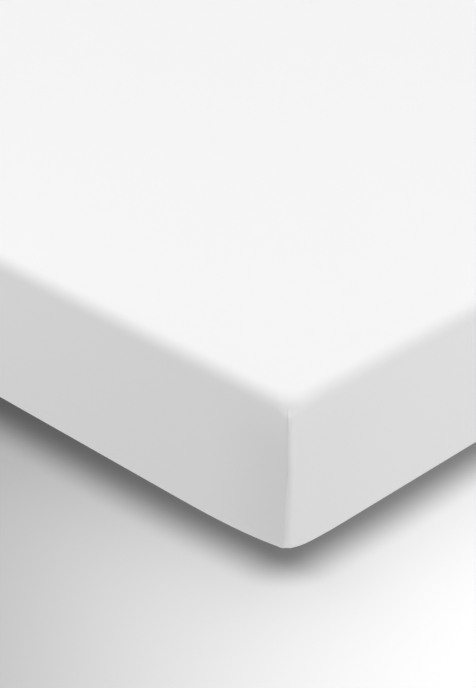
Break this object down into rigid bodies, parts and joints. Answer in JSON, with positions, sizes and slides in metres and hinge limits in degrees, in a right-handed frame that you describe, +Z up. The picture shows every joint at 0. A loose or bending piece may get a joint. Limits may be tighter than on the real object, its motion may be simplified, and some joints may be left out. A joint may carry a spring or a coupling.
{
  "type": "fitted sheet on a mattress",
  "caption": "Plain white fitted sheet pulled tight over a deep rectangular mattress, with upright corner seams, rounded edges and an elasticated hem tucked under.",
  "frame": {"origin": "bottom centre of the bounding box, on the floor under the middle of the mattress", "axes": "+Y along the bed towards its head end, +X across the bed, +Z up"},
  "size_m": [1.5072, 2.0082, 0.252],
  "materials": {
    "mattress_cover": "plain knitted cover, matt",
    "sheet_cotton": "fine plain-woven white cotton, matt"
  },
  "bodies": {
    "root": {"mattress": "mattress_cover", "fitted_sheet": "sheet_cotton"}
  },
  "joints": []
}
